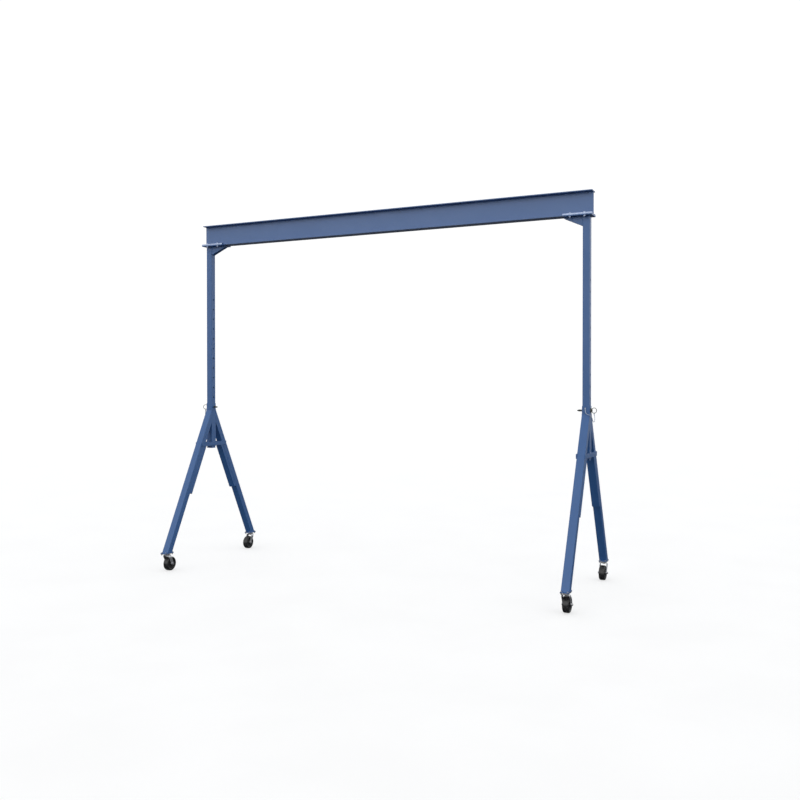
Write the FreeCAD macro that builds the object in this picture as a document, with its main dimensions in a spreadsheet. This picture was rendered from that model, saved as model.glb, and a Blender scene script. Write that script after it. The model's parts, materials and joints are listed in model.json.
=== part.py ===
import FreeCAD, Part
import math
import os
import re
import Sketcher

# Adjustable-height gantry crane: a rolled steel beam on two telescoping A-frames that run on
# swivel casters.  Millimetres; X runs along the beam, Y across it, Z up from the floor, and the
# origin lies on the floor under the middle of the beam.  Each end of the crane is drawn once in a
# frame of its own (X pointing outboard, -Y to the front) and set at both ends, turned by half a
# turn at the left one; each leg and caster is drawn once for the front and turned for the rear.

SIZES = (
    # Beam
    ("beam_length", 6096.0),
    ("under_beam", 4890.0),
    ("beam_depth", 313.0),
    ("flange_width", 166.0),
    ("flange_thickness", 11.2),
    ("web_thickness", 6.6),
    ("root_radius", 12.0),
    # Uprights and the pin holes that set the height
    ("beam_overhang", 85.0),
    ("upright_side", 93.5),
    ("upright_wall", 6.35),
    ("upright_corner", 6.0),
    ("upright_stub", 28.0),
    ("plain_top", 800.0),
    ("hole_pitch", 152.4),
    ("hole_gap", 0.8),
    # Cap plates, clamps and knee brackets under the beam
    ("cap_length", 381.0),
    ("cap_thickness", 9.5),
    ("clamp_width", 31.5),
    ("clamp_thickness", 11.8),
    ("clamp_lap", 15.0),
    ("clamp_gap", 1.5),
    ("knee_margin", 2.0),
    ("knee_drop", 127.0),
    ("knee_web", 6.4),
    ("knee_nose", 15.0),
    ("strap_width", 76.0),
    ("strap_thickness", 9.5),
    # Sleeves of the A-frames
    ("sleeve_wall", 4.0),
    ("sleeve_corner", 6.0),
    ("sleeve_top", 2440.0),
    ("sleeve_length", 672.0),
    ("slide_gap", 0.8),
    ("lug_width", 12.0),
    ("lug_depth", 14.0),
    ("lug_height", 14.0),
    ("lug_drop", 9.0),
    ("lug_offset", -6.0),
    # Legs and their stiffeners
    ("leg_depth", 93.0),
    ("leg_wall", 4.8),
    ("leg_corner", 6.0),
    ("leg_drop", 98.0),
    ("leg_reach", 1102.0),
    ("stiffener_depth", 46.0),
    ("stiffener_wall", 4.8),
    ("stiffener_foot", 1095.0),
    # Cross bars
    ("bar_height", 60.0),
    ("bar_thickness", 9.5),
    ("bar_lift", 41.0),
    ("left_bar_overhang", -16.0),
    ("right_bar_overhang", 8.0),
    # Foot plates and casters
    ("foot_width", 108.0),
    ("foot_length", 172.0),
    ("foot_thickness", 9.5),
    ("plate_corner", 10.0),
    ("caster_headroom", 56.5),
    ("caster_plate", 6.4),
    ("caster_lead", 57.0),
    ("race_diameter", 84.0),
    ("race_thickness", 8.0),
    ("swivel_gap", 0.5),
    ("kingpin_diameter", 18.0),
    ("kingnut_flats", 30.0),
    ("kingnut_height", 12.0),
    ("fork_race", 8.0),
    ("fork_crown", 8.0),
    ("fork_wall", 6.0),
    ("crown_width", 72.0),
    ("shoulder_drop", 34.0),
    ("strap_head", 72.0),
    ("strap_foot", 50.0),
    ("strap_round", 24.0),
    # Wheels and axles
    ("wheel_diameter", 203.0),
    ("wheel_width", 80.0),
    ("shoulder_radius", 14.0),
    ("hub_diameter", 52.0),
    ("hub_stand", 3.5),
    ("hub_gap", 1.5),
    ("rim_depth", 20.0),
    ("dish_depth", 9.0),
    ("axle_diameter", 20.0),
    ("axle_gap", 0.1),
    ("nut_flats", 30.0),
    ("nut_height", 14.0),
    ("thread_end", 6.0),
    # Height pins
    ("pin_drop", 59.0),
    ("pin_diameter", 25.4),
    ("pin_gap", 0.3),
    ("pin_reach", 122.0),
    ("pin_taper", 22.0),
    ("pin_nose", 12.0),
    ("collar_lip", 20.0),
    ("collar_length", 8.0),
    ("pin_head", 74.0),
    ("ring_diameter", 76.0),
    ("ring_wire", 8.0),
    ("ring_set", 9.6),
    ("ring_turn", 38.0),
    ("lanyard_diameter", 8.0),
)

# Share of each run of the lanyard, at either end, that its arcs take up
ARC_SHARE = 0.45

# Sizes worked out from the sheet's, as expressions
UPRIGHT_REACH = "(beam_length / 2 - beam_overhang)"
CAP_BOTTOM = "(under_beam - cap_thickness)"
CAP_WIDTH = "(flange_width + 2 * clamp_width)"
CAP_INBOARD = "(beam_overhang - cap_length)"
KNEE_REACH = f"(-({CAP_INBOARD}) - upright_side / 2 - knee_margin)"
SLEEVE_BORE = "(upright_side + 2 * slide_gap)"
SLEEVE_SIDE = f"({SLEEVE_BORE} + 2 * sleeve_wall)"
SLEEVE_FACE = f"({SLEEVE_SIDE} / 2)"
SLEEVE_BOTTOM = "(sleeve_top - sleeve_length)"
UPRIGHT_FOOT = f"({SLEEVE_BOTTOM} - upright_stub)"
PIN_HEIGHT = "(sleeve_top - pin_drop)"
HOLE_ROW = f"floor(({CAP_BOTTOM} - plain_top - {PIN_HEIGHT}) / hole_pitch)"
LEG_HEAD = "(sleeve_top - leg_drop)"
BAR_MIDDLE = f"({SLEEVE_BOTTOM} + bar_lift)"
CASTER_HEIGHT = "(wheel_diameter + caster_headroom)"
FOOT_TOP = f"({CASTER_HEIGHT} + foot_thickness)"
LEG_SLOPE = f"((leg_reach - {SLEEVE_FACE}) / ({LEG_HEAD} - {FOOT_TOP}))"
LEG_SKEW = f"sqrt(1 + {LEG_SLOPE} ^ 2)"
AXLE_HEIGHT = "(wheel_diameter / 2)"
RACE_BOTTOM = f"({CASTER_HEIGHT} - caster_plate - race_thickness)"
CROWN_TOP = f"({RACE_BOTTOM} - swivel_gap - fork_race)"
CROWN_BOTTOM = f"({CROWN_TOP} - fork_crown)"
SWIVEL_REACH = f"(leg_reach - leg_depth * {LEG_SKEW} / 2)"
HUB_WIDTH = "(wheel_width + 2 * hub_stand)"
FORK_INSIDE = f"({HUB_WIDTH} / 2 + hub_gap)"
FORK_OUTSIDE = f"({FORK_INSIDE} + fork_wall)"

ENDS = (("left", -1, 180), ("right", 1, 0))
SIDES = (("front", -1, 0), ("rear", 1, 180))
BEAM_AXIS = FreeCAD.Vector(1, 0, 0)
CROSS_AXIS = FreeCAD.Vector(0, 1, 0)
UP = FreeCAD.Vector(0, 0, 1)
NO_MOVE = FreeCAD.Vector(0, 0, 0)

# Route of the right pin's lanyard, from the lug on the sleeve to the pin's ring, in the end's own
# frame with Z from the top of the sleeve
LANYARD_ROUTE = (
    (-6, -60, -23),
    (-6, -62, -45),
    (-2, -67, -73),
    (8, -75, -97),
    (30, -79, -110),
    (56, -78, -116),
    (73, -63, -134),
    (80, -45, -157),
    (82, -34, -178),
    (85, -26, -195),
    (90, -17, -205),
    (97, -5, -205),
    (101, 4, -194),
    (103, 10, -177),
    (102, 15, -152),
    (98, 18, -129),
    (94, 20, -111),
    (91, 21, -95),
)

doc = FreeCAD.newDocument("gantry_crane")
sheet = doc.addObject("Spreadsheet::Sheet", "dim")
for row, (alias, value) in enumerate(SIZES, start=1):
    sheet.set(f"A{row}", alias)
    sheet.set(f"B{row}", str(value))
    sheet.setAlias(f"B{row}", alias)
doc.recompute()

nodes = []


def sized(text):
    """An expression in which each plain name refers to its cell of the sheet."""
    return re.sub(r"[a-z]+(?:_[a-z]+)+", lambda name: "dim." + name.group(0), str(text))


def number(text):
    """The present value of an expression."""
    return float(sheet.evalExpression(sized(text)))


def bind(thing, **sizes):
    """Tie properties of an object to expressions."""
    for name, text in sizes.items():
        thing.setExpression(name, sized(text))


def place(thing, base, turn=0, axis=UP):
    """Turn an object about an axis through its origin and tie where it stands to expressions."""
    thing.Placement = FreeCAD.Placement(NO_MOVE, FreeCAD.Rotation(axis, turn))
    for direction, text in zip("xyz", base):
        thing.setExpression(f"Placement.Base.{direction}", sized(text))


def node(thing, name, base=("0", "0", "0"), turn=0):
    """Name a finished sub-part and stand it in its place."""
    thing.Label = name
    place(thing, base, turn)
    nodes.append(thing)
    return thing


def end_base(way, height="0"):
    """The foot of one end's own frame."""
    return (f"{way} * {UPRIGHT_REACH}", "0", height)


def foot_base(way, side, height="0"):
    """The foot of one caster's swivel axis."""
    return (f"{way} * {UPRIGHT_REACH}", f"{side} * {SWIVEL_REACH}", height)


# ---------------------------------------------------------------- sketches and features

def new_sketch(body, plane_role):
    """A sketch flat on one of its body's origin planes."""
    sketch = body.newObject("Sketcher::SketchObject", body.Name + "_sketch")
    plane = next(item for item in body.Origin.OriginFeatures if item.Role == plane_role)
    sketch.AttachmentSupport = [(plane, "")]
    sketch.MapMode = "FlatFace"
    return sketch


def hold(sketch, kind, where, text):
    """Constrain a distance from the sketch's origin, or a radius, to an expression."""
    index = sketch.addConstraint(Sketcher.Constraint(kind, *where, number(text)))
    sketch.setExpression(f"Constraints[{index}]", sized(text))


def outline(sketch, corners):
    """A closed outline of straight lines, each corner held from the origin both ways."""
    first = sketch.GeometryCount
    points = [FreeCAD.Vector(number(across), number(along), 0) for across, along in corners]
    count = len(points)
    for index, point in enumerate(points):
        sketch.addGeometry(Part.LineSegment(point, points[(index + 1) % count]))
    for index in range(count):
        here = first + index
        following = first + (index + 1) % count
        sketch.addConstraint(Sketcher.Constraint("Coincident", here, 2, following, 1))
    for index, (across, along) in enumerate(corners):
        hold(sketch, "DistanceX", (-1, 1, first + index, 1), across)
        hold(sketch, "DistanceY", (-1, 1, first + index, 1), along)


def circle(sketch, across, along, radius):
    """A circle held from the sketch's origin."""
    index = sketch.GeometryCount
    centre = FreeCAD.Vector(number(across), number(along), 0)
    sketch.addGeometry(Part.Circle(centre, UP, number(radius)))
    hold(sketch, "DistanceX", (-1, 1, index, 3), across)
    hold(sketch, "DistanceY", (-1, 1, index, 3), along)
    hold(sketch, "Radius", (index,), radius)


def rectangle(width, height):
    """Corners of a rectangle about the origin."""
    half_width = f"({width}) / 2"
    half_height = f"({height}) / 2"
    return (
        (f"-({half_width})", f"-({half_height})"),
        (half_width, f"-({half_height})"),
        (half_width, half_height),
        (f"-({half_width})", half_height),
    )


def hexagon(flats):
    """Corners of a hexagon about the origin, with flats facing up and down."""
    corner = f"({flats}) / sqrt(3)"
    half = f"({flats}) / 2"
    return (
        (corner, "0"),
        (f"{corner} / 2", half),
        (f"-({corner}) / 2", half),
        (f"-({corner})", "0"),
        (f"-({corner}) / 2", f"-({half})"),
        (f"{corner} / 2", f"-({half})"),
    )


def pad(body, sketch, length, both_ways=False, backwards=False):
    """Raise a sketch into a solid, to one side or half to each side."""
    feature = body.newObject("PartDesign::Pad", body.Name + "_pad")
    feature.Profile = sketch
    feature.SideType = "Symmetric" if both_ways else "One side"
    feature.Reversed = backwards
    bind(feature, Length=length)
    doc.recompute()
    return feature


def pocket(body, sketch, length, both_ways=True, backwards=False):
    """Cut a sketch out of a body, and make sure that something was cut."""
    before = body.Shape.Volume
    feature = body.newObject("PartDesign::Pocket", body.Name + "_pocket")
    feature.Profile = sketch
    feature.SideType = "Symmetric" if both_ways else "One side"
    feature.Reversed = backwards
    bind(feature, Length=length)
    doc.recompute()
    if not body.Shape.Volume < before:
        raise RuntimeError(f"{body.Label}: a pocket cut nothing")
    return feature


def rounded(body, radius, chosen):
    """Round the edges that the test picks."""
    base = body.Tip
    names = [f"Edge{count}" for count, edge in enumerate(base.Shape.Edges, start=1) if chosen(edge)]
    if not names:
        raise RuntimeError(f"{body.Label}: no edge to round")
    fillet = body.newObject("PartDesign::Fillet", body.Name + "_fillet")
    fillet.Base = (base, names)
    bind(fillet, Radius=radius)
    doc.recompute()
    return fillet


def runs_along(edge, direction):
    """Whether a straight edge runs along a direction."""
    if edge.Curve.TypeId != "Part::GeomLine":
        return False
    return abs(abs(edge.Curve.Direction.dot(direction)) - 1) < 1e-6


# ---------------------------------------------------------------- beam and uprights

def make_beam():
    """Rolled I-section with rounded roots between its web and flanges."""
    body = doc.addObject("PartDesign::Body", "i_beam")
    half_flange = "flange_width / 2"
    half_web = "web_thickness / 2"
    bottom = "flange_thickness"
    top = "beam_depth - flange_thickness"
    right_half = (
        (half_flange, "0"),
        (half_flange, bottom),
        (half_web, bottom),
        (half_web, top),
        (half_flange, top),
        (half_flange, "beam_depth"),
    )
    left_half = tuple((f"-({across})", along) for across, along in reversed(right_half))
    section = new_sketch(body, "YZ_Plane")
    outline(section, right_half + left_half)
    pad(body, section, "beam_length", both_ways=True)
    web = number(half_web)
    rounded(
        body,
        "root_radius",
        lambda edge: runs_along(edge, BEAM_AXIS) and abs(abs(edge.CenterOfMass.y) - web) < 1e-3,
    )
    return node(body, "i_beam", ("0", "0", "under_beam"))


def make_upright(end, way, turn):
    """Square tube with a row of pin holes through its inboard and outboard walls."""
    body = doc.addObject("PartDesign::Body", f"{end}_upright")
    section = new_sketch(body, "XY_Plane")
    outline(section, rectangle("upright_side", "upright_side"))
    pad(body, section, f"{CAP_BOTTOM} - {UPRIGHT_FOOT}")
    rounded(body, "upright_corner", lambda edge: runs_along(edge, UP))
    inside = new_sketch(body, "XY_Plane")
    bore = "upright_side - 2 * upright_wall"
    outline(inside, rectangle(bore, bore))
    pocket(body, inside, f"2 * ({CAP_BOTTOM} - {UPRIGHT_FOOT})")
    hole = new_sketch(body, "YZ_Plane")
    circle(hole, "0", f"{PIN_HEIGHT} - {UPRIGHT_FOOT}", "pin_diameter / 2 + hole_gap")
    drilled = pocket(body, hole, "2 * upright_side")
    row = body.newObject("PartDesign::LinearPattern", body.Name + "_row")
    row.Originals = [drilled]
    axis = next(item for item in body.Origin.OriginFeatures if item.Role == "Z_Axis")
    row.Direction = (axis, [""])
    bind(row, Length=f"hole_pitch * {HOLE_ROW}", Occurrences=f"{HOLE_ROW} + 1")
    body.Tip = row
    doc.recompute()
    return node(body, f"{end}_upright", end_base(way, UPRIGHT_FOOT), turn)


def make_cap_plate(end, way, turn):
    """Plate on top of an upright that the beam's bottom flange sits on."""
    body = doc.addObject("PartDesign::Body", f"{end}_cap_plate")
    face = new_sketch(body, "XY_Plane")
    half = f"({CAP_WIDTH} / 2)"
    outline(face, (
        (CAP_INBOARD, f"-({half})"),
        ("beam_overhang", f"-({half})"),
        ("beam_overhang", half),
        (CAP_INBOARD, half),
    ))
    pad(body, face, "cap_thickness")
    return node(body, f"{end}_cap_plate", end_base(way, CAP_BOTTOM), turn)


def make_knee_bracket(end, way, turn):
    """Two side plates between an upright and its cap plate, closed underneath by a sloping strap."""
    body = doc.addObject("PartDesign::Body", f"{end}_knee_bracket")
    near = "upright_side / 2"
    far = f"({near} + {KNEE_REACH})"
    lift = f"(strap_thickness * sqrt(1 + ((knee_drop - knee_nose) / {KNEE_REACH}) ^ 2))"
    whole = new_sketch(body, "XZ_Plane")
    outline(whole, (
        (f"-({near})", "0"),
        (f"-({near})", "-(knee_drop)"),
        (f"-({far})", "-(knee_nose)"),
        (f"-({far})", "0"),
    ))
    pad(body, whole, "strap_width", both_ways=True)
    inside = new_sketch(body, "XZ_Plane")
    outline(inside, (
        (f"-({near})", "0"),
        (f"-({near})", f"{lift} - knee_drop"),
        (f"-({far})", f"{lift} - knee_nose"),
        (f"-({far})", "0"),
    ))
    pocket(body, inside, "strap_width - 2 * knee_web")
    return node(body, f"{end}_knee_bracket", end_base(way, CAP_BOTTOM), turn)


def make_beam_clamps(end, way, turn):
    """Two stepped bars that hold the edges of the bottom flange down on the cap plate."""
    outer = f"({CAP_WIDTH} / 2)"
    heel = "(flange_width / 2 + clamp_gap)"
    lap = "(flange_width / 2 - clamp_lap)"
    bars = []
    for side, sign, _ in SIDES:
        low = doc.addObject("Part::Box", f"{end}_{side}_clamp_heel")
        bind(low, Length="cap_length", Width=f"{outer} - {heel}", Height="flange_thickness")
        high = doc.addObject("Part::Box", f"{end}_{side}_clamp_lap")
        bind(high, Length="cap_length", Width=f"{outer} - {lap}", Height="clamp_thickness")
        place(low, (CAP_INBOARD, f"-({outer})" if sign < 0 else heel, "0"))
        place(high, (CAP_INBOARD, f"-({outer})" if sign < 0 else lap, "flange_thickness"))
        bars += [low, high]
    both = doc.addObject("Part::MultiFuse", f"{end}_beam_clamps")
    both.Shapes = bars
    both.Refine = True
    return node(both, f"{end}_beam_clamps", end_base(way, "under_beam"), turn)


# ---------------------------------------------------------------- A-frames

def make_sleeve(end, way, turn):
    """Square sleeve that an upright slides in, with a pin hole and a lug for the lanyard."""
    body = doc.addObject("PartDesign::Body", f"{end}_sleeve")
    section = new_sketch(body, "XY_Plane")
    outline(section, rectangle(SLEEVE_SIDE, SLEEVE_SIDE))
    pad(body, section, "sleeve_length")
    rounded(body, "sleeve_corner", lambda edge: runs_along(edge, UP))
    inside = new_sketch(body, "XY_Plane")
    outline(inside, rectangle(SLEEVE_BORE, SLEEVE_BORE))
    pocket(body, inside, "2 * sleeve_length")
    hole = new_sketch(body, "YZ_Plane")
    circle(hole, "0", "sleeve_length - pin_drop", "pin_diameter / 2 + pin_gap")
    pocket(body, hole, f"2 * {SLEEVE_SIDE}")
    lug = new_sketch(body, "YZ_Plane")
    lug_top = "sleeve_length - lug_drop"
    root = f"-({SLEEVE_FACE} - sleeve_wall / 2)"
    tip = f"-({SLEEVE_FACE} + lug_depth)"
    outline(lug, (
        (root, lug_top),
        (root, f"{lug_top} - lug_height"),
        (tip, f"{lug_top} - lug_height"),
        (tip, f"{lug_top} - lug_height / 2"),
        (f"-({SLEEVE_FACE} + lug_depth / 2)", lug_top),
    ))
    lug.setExpression("AttachmentOffset.Base.z", sized("lug_offset"))
    pad(body, lug, "lug_width", both_ways=True)
    return node(body, f"{end}_sleeve", end_base(way, SLEEVE_BOTTOM), turn)


def leg_face(depth, height):
    """Distance out from the sleeve's axis of a face that lies a depth inside a leg's outer one."""
    return f"({SLEEVE_FACE} + {LEG_SLOPE} * ({LEG_HEAD} - {height}) - ({depth}) * {LEG_SKEW})"


def leg_meets_sleeve(depth):
    """Height at which that face meets the sleeve."""
    return f"({LEG_HEAD} - ({depth}) * {LEG_SKEW} / {LEG_SLOPE})"


def cut_level(depths, height):
    """Corners of a leg or stiffener cut off level at a height."""
    return [(f"-({leg_face(depth, height)})", height) for depth in depths]


def slanted_outline(body, outer, inner, corners):
    """Side view of a leg or stiffener between two slanting faces, cut as given at head and foot."""
    side = new_sketch(body, "YZ_Plane")
    outline(side, corners(outer, inner))
    return side


def slanted_tube(body, near, far, wall, corners):
    """Tube as wide as the sleeve between two slanting faces, with its long corners rounded."""
    pad(body, slanted_outline(body, near, far, corners), SLEEVE_SIDE, both_ways=True)
    along = FreeCAD.Vector(0, number(LEG_SLOPE), 1).normalize()
    rounded(body, "leg_corner", lambda edge: runs_along(edge, along))
    bore = slanted_outline(body, f"{near} + {wall}", f"{far} - {wall}", corners)
    pocket(body, bore, f"{SLEEVE_SIDE} - 2 * {wall}")


def make_leg(end, way, side, turn):
    """Rectangular tube from the sleeve's face down to a foot plate."""
    body = doc.addObject("PartDesign::Body", f"{end}_{side}_leg")

    def corners(outer, inner):
        head = [(f"-({SLEEVE_FACE})", leg_meets_sleeve(depth)) for depth in (outer, inner)]
        return head + cut_level((inner, outer), FOOT_TOP)

    slanted_tube(body, "0", "leg_depth", "leg_wall", corners)
    return node(body, f"{end}_{side}_leg", end_base(way), turn)


def make_stiffener(end, way, side, turn):
    """Flatter tube along the inner face of a leg, from the cross bars to a square lower end."""
    body = doc.addObject("PartDesign::Body", f"{end}_{side}_leg_stiffener")
    start = f"({leg_face('leg_depth', 'stiffener_foot')})"

    def corners(outer, inner):
        foot = []
        for depth in (inner, outer):
            beyond = f"(({depth}) - leg_depth)"
            across = f"-({start} - {beyond} / {LEG_SKEW})"
            along = f"stiffener_foot - {beyond} * {LEG_SLOPE} / {LEG_SKEW}"
            foot.append((across, along))
        return cut_level((outer, inner), BAR_MIDDLE) + foot

    far = "(leg_depth + stiffener_depth)"
    slanted_tube(body, "leg_depth", far, "stiffener_wall", corners)
    return node(body, f"{end}_{side}_leg_stiffener", end_base(way), turn)


def make_cross_bars(end, way, turn):
    """Two flat bars tying the legs together, one on each face of the A-frame."""
    reach = f"({leg_face('0', BAR_MIDDLE)} + {end}_bar_overhang)"
    bars = []
    for face, sign in (("inboard", -1), ("outboard", 1)):
        bar = doc.addObject("Part::Box", f"{end}_{face}_bar")
        bind(bar, Length="bar_thickness", Width=f"2 * {reach}", Height="bar_height")
        edge = SLEEVE_FACE if sign > 0 else f"-({SLEEVE_FACE}) - bar_thickness"
        place(bar, (edge, f"-({reach})", f"{BAR_MIDDLE} - bar_height / 2"))
        bars.append(bar)
    both = doc.addObject("Part::MultiFuse", f"{end}_cross_bars")
    both.Shapes = bars
    return node(both, f"{end}_cross_bars", end_base(way), turn)


def make_foot_plate(end, way, side, sign, turn):
    """Plate welded across the lower end of a leg."""
    body = doc.addObject("PartDesign::Body", f"{end}_{side}_foot_plate")
    face = new_sketch(body, "XY_Plane")
    outline(face, rectangle("foot_width", "foot_length"))
    pad(body, face, "foot_thickness")
    rounded(body, "plate_corner", lambda edge: runs_along(edge, UP))
    return node(body, f"{end}_{side}_foot_plate", foot_base(way, sign, CASTER_HEIGHT), turn)


# ---------------------------------------------------------------- casters

def make_caster_plate(end, way, side, sign, turn):
    """Fixed half of a swivel: top plate, upper race, kingpin and its nut."""
    body = doc.addObject("PartDesign::Body", f"{end}_{side}_caster_plate")
    face = new_sketch(body, "XY_Plane")
    outline(face, rectangle("foot_width", "foot_length"))
    pad(body, face, "caster_plate", backwards=True)
    rounded(body, "plate_corner", lambda edge: runs_along(edge, UP))
    race = new_sketch(body, "XY_Plane")
    circle(race, "0", "0", "race_diameter / 2")
    pad(body, race, "caster_plate + race_thickness", backwards=True)
    kingpin = new_sketch(body, "XY_Plane")
    circle(kingpin, "0", "0", "kingpin_diameter / 2")
    nut_top = f"({CROWN_BOTTOM} - swivel_gap)"
    nut_bottom = f"({nut_top} - kingnut_height)"
    pad(body, kingpin, f"{CASTER_HEIGHT} - {nut_bottom}", backwards=True)
    nut = new_sketch(body, "XY_Plane")
    outline(nut, hexagon("kingnut_flats"))
    nut.setExpression("AttachmentOffset.Base.z", sized(f"{nut_top} - {CASTER_HEIGHT}"))
    pad(body, nut, "kingnut_height", backwards=True)
    return node(body, f"{end}_{side}_caster_plate", foot_base(way, sign, CASTER_HEIGHT), turn)


def make_fork(end, way, side, sign, turn):
    """Swivelling fork: lower race, arched crown and two straps slanting down to the axle."""
    body = doc.addObject("PartDesign::Body", f"{end}_{side}_fork")
    arch = new_sketch(body, "XZ_Plane")
    foot = f"({AXLE_HEIGHT} - strap_foot / 2)"
    shoulder = f"({CROWN_TOP} - shoulder_drop)"
    inner_shoulder = f"({CROWN_BOTTOM} - shoulder_drop + fork_wall / 2)"
    outer_half = (
        (FORK_OUTSIDE, foot),
        (FORK_OUTSIDE, shoulder),
        ("crown_width / 2", CROWN_TOP),
    )
    inner_half = (
        ("crown_width / 2 - fork_wall", CROWN_BOTTOM),
        (FORK_INSIDE, inner_shoulder),
        (FORK_INSIDE, foot),
    )
    mirrored_outer = tuple((f"-({across})", along) for across, along in reversed(outer_half))
    mirrored_inner = tuple((f"-({across})", along) for across, along in reversed(inner_half))
    outline(arch, outer_half + mirrored_outer + mirrored_inner + inner_half)
    side_room = "(caster_lead + wheel_diameter)"
    pad(body, arch, f"2 * {side_room}", both_ways=True)
    for across, edge in ((-1, "(caster_lead - strap_foot / 2)"), (1, "(caster_lead + strap_foot / 2)")):
        waste = new_sketch(body, "YZ_Plane")
        outline(waste, (
            (f"{across} * strap_head / 2", f"{CROWN_TOP} + fork_race"),
            (f"{across} * strap_head / 2", CROWN_BOTTOM),
            (edge, AXLE_HEIGHT),
            (edge, f"-({side_room})"),
            (f"{across} * {side_room}", f"-({side_room})"),
            (f"{across} * {side_room}", f"{CROWN_TOP} + fork_race"),
        ))
        pocket(body, waste, f"4 * {FORK_OUTSIDE}")
    lowest = number(foot)
    rounded(
        body,
        "strap_round",
        lambda edge: runs_along(edge, BEAM_AXIS) and abs(edge.CenterOfMass.z - lowest) < 1e-3,
    )
    race = new_sketch(body, "XY_Plane")
    circle(race, "0", "0", "crown_width / 2")
    race.setExpression("AttachmentOffset.Base.z", sized(f"{CROWN_BOTTOM}"))
    pad(body, race, "fork_crown + fork_race")
    bore = new_sketch(body, "XY_Plane")
    circle(bore, "0", "0", "kingpin_diameter / 2 + axle_gap")
    bore.setExpression("AttachmentOffset.Base.z", sized(f"{CROWN_TOP} + fork_race"))
    pocket(body, bore, "2 * (fork_crown + fork_race)", both_ways=False)
    eye = new_sketch(body, "YZ_Plane")
    circle(eye, "caster_lead", AXLE_HEIGHT, "axle_diameter / 2 + axle_gap")
    pocket(body, eye, f"4 * {FORK_OUTSIDE}")
    return node(body, f"{end}_{side}_fork", foot_base(way, sign), turn)


def axle_base(way, side):
    """The middle of one caster's axle at rest, its wheel trailing towards the crane's middle."""
    across = f"{side} * ({SWIVEL_REACH} - caster_lead)"
    return (f"{way} * {UPRIGHT_REACH}", across, AXLE_HEIGHT)


def make_axle(end, way, side, sign):
    """Axle bolt through the fork's eyes, with its head at one end and a nut at the other."""
    body = doc.addObject("PartDesign::Body", f"{end}_{side}_axle")
    shank = new_sketch(body, "YZ_Plane")
    circle(shank, "0", "0", "axle_diameter / 2")
    shank.setExpression("AttachmentOffset.Base.z", sized(f"-({FORK_OUTSIDE})"))
    pad(body, shank, f"2 * {FORK_OUTSIDE} + nut_height + thread_end")
    for start, backwards in ((f"-({FORK_OUTSIDE})", True), (FORK_OUTSIDE, False)):
        flats = new_sketch(body, "YZ_Plane")
        outline(flats, hexagon("nut_flats"))
        flats.setExpression("AttachmentOffset.Base.z", sized(start))
        pad(body, flats, "nut_height", backwards=backwards)
    return node(body, f"{end}_{side}_axle", axle_base(way, sign))


def make_wheel(end, way, side, sign):
    """Solid wheel: crowned tread, dished sides and a hub bored for its axle."""
    body = doc.addObject("PartDesign::Body", f"{end}_{side}_wheel")
    bore = "(axle_diameter / 2 + axle_gap)"
    rim = "(wheel_diameter / 2)"
    inner_rim = "(wheel_diameter / 2 - rim_depth)"
    hub = "(hub_diameter / 2)"
    dish = "(wheel_width / 2 - dish_depth)"
    half = (
        (f"{HUB_WIDTH} / 2", bore),
        (f"{HUB_WIDTH} / 2", hub),
        (dish, f"{hub} + dish_depth / 2"),
        (dish, f"{inner_rim} - dish_depth / 2"),
        ("wheel_width / 2", inner_rim),
        ("wheel_width / 2", rim),
    )
    mirrored = tuple((f"-({across})", along) for across, along in reversed(half))
    section = new_sketch(body, "XZ_Plane")
    outline(section, half + mirrored)
    turned = body.newObject("PartDesign::Revolution", body.Name + "_turned")
    turned.Profile = section
    axis = next(item for item in body.Origin.OriginFeatures if item.Role == "X_Axis")
    turned.ReferenceAxis = (axis, [""])
    turned.Angle = 360
    doc.recompute()
    outermost = number(rim)
    rounded(
        body,
        "shoulder_radius",
        lambda edge: edge.Curve.TypeId == "Part::GeomCircle"
        and abs(edge.Curve.Radius - outermost) < 1e-3,
    )
    return node(body, f"{end}_{side}_wheel", axle_base(way, sign))


# ---------------------------------------------------------------- height pins and lanyards

def rod(name, diameter, start, length):
    """A round rod along the pin's own axis."""
    cylinder = doc.addObject("Part::Cylinder", name)
    bind(cylinder, Radius=f"({diameter}) / 2", Height=length)
    place(cylinder, (start, "0", "0"), 90, CROSS_AXIS)
    return cylinder


def make_height_pin(end, way, turn):
    """The two ends of a ring pin in the sleeve's walls; the tube between them is left clear."""
    seat = "(upright_side / 2 + pin_gap)"
    taper = "(pin_reach - pin_taper)"
    tip = rod(f"{end}_pin_tip", "pin_diameter", f"-({taper})", f"{taper} - {seat}")
    nose = doc.addObject("Part::Cone", f"{end}_pin_nose")
    bind(nose, Radius1="pin_nose / 2", Radius2="pin_diameter / 2", Height="pin_taper")
    place(nose, ("-(pin_reach)", "0", "0"), 90, CROSS_AXIS)
    shank = rod(f"{end}_pin_shank", "pin_diameter", seat, f"pin_head - {seat}")
    across_collar = "pin_diameter + 2 * collar_lip"
    collar = rod(f"{end}_pin_collar", across_collar, SLEEVE_FACE, "collar_length")
    ring = doc.addObject("Part::Torus", f"{end}_pin_ring")
    ring_radius = "((ring_diameter - ring_wire) / 2)"
    bind(ring, Radius1=ring_radius, Radius2="ring_wire / 2")
    upright_ring = FreeCAD.Rotation(BEAM_AXIS, 90)
    turned_ring = FreeCAD.Rotation(UP, number("ring_turn")).multiply(upright_ring)
    ring.Placement = FreeCAD.Placement(NO_MOVE, turned_ring)
    out = f"pin_head - ring_set + {ring_radius} * cos(ring_turn)"
    ring.setExpression("Placement.Base.x", sized(out))
    ring.setExpression("Placement.Base.y", sized(f"{ring_radius} * sin(ring_turn)"))
    pin = doc.addObject("Part::MultiFuse", f"{end}_height_pin")
    pin.Shapes = [tip, nose, shank, collar, ring]
    return node(pin, f"{end}_height_pin", end_base(way, PIN_HEIGHT), turn)


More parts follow.
